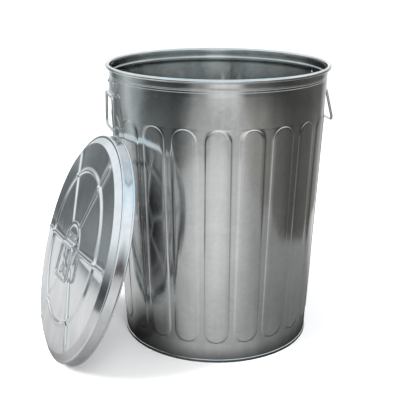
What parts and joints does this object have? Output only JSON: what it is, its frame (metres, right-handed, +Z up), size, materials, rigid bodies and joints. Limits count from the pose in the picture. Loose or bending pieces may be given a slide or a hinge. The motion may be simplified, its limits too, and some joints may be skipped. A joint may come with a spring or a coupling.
{
  "type": "galvanised steel refuse can with a loose lid",
  "caption": "Tapered, fluted, round galvanised steel can with a rolled rim and drop handles on its sides; its domed lid, with a handle of its own, leans against it.",
  "frame": {"origin": "on the can's axis at floor level, under the bottom pan", "axes": "+Z up along the can's axis, +X through the right side handle, -X through the left side handle under which the lid leans"},
  "size_m": [0.7411, 0.6222, 0.686],
  "materials": {
    "can_sheet": "shiny galvanised sheet with a faint mottled spangle and streaks",
    "lid_sheet": "shiny galvanised sheet with soft drawing marks",
    "clip": "formed galvanised sheet",
    "wire": "galvanised round wire",
    "rivet": "galvanised rivet heads"
  },
  "bodies": {
    "can": {"can_wall": "can_sheet", "rim_wire": "wire", "bottom_pan": "can_sheet", "left_ear": "clip", "left_ear_rivet_1": "rivet", "left_ear_rivet_2": "rivet", "right_ear": "clip", "right_ear_rivet_1": "rivet", "right_ear_rivet_2": "rivet"},
    "left_handle": {"left_bail": "wire"},
    "right_handle": {"right_bail": "wire"},
    "lid": {"lid_pan": "lid_sheet", "lid_ear": "clip", "lid_ear_rivet_1": "rivet", "lid_ear_rivet_2": "rivet"},
    "lid_handle": {"lid_bail": "wire"}
  },
  "joints": [
    {"name": "left_handle_swing", "type": "hinge", "parent": "can", "child": "left_handle", "pos_m": [-0.26608, 0, 0.618], "axis": [0, 1, 0], "range_deg": [-1.5, 165]},
    {"name": "right_handle_swing", "type": "hinge", "parent": "can", "child": "right_handle", "pos_m": [0.26608, 0, 0.618], "axis": [0, -1, 0], "range_deg": [-13.5, 153]},
    {"name": "lid_lift_away", "type": "slide", "parent": "can", "child": "lid", "axis": [-0.9457, -0.0966, 0.3105], "range_m": [0, 0.35]},
    {"name": "lid_handle_swing", "type": "hinge", "parent": "lid", "child": "lid_handle", "pos_m": [-0.38846, -0.08068, 0.27874], "axis": [-0.1369, 0.9844, -0.1109], "range_deg": [0, 180]}
  ]
}
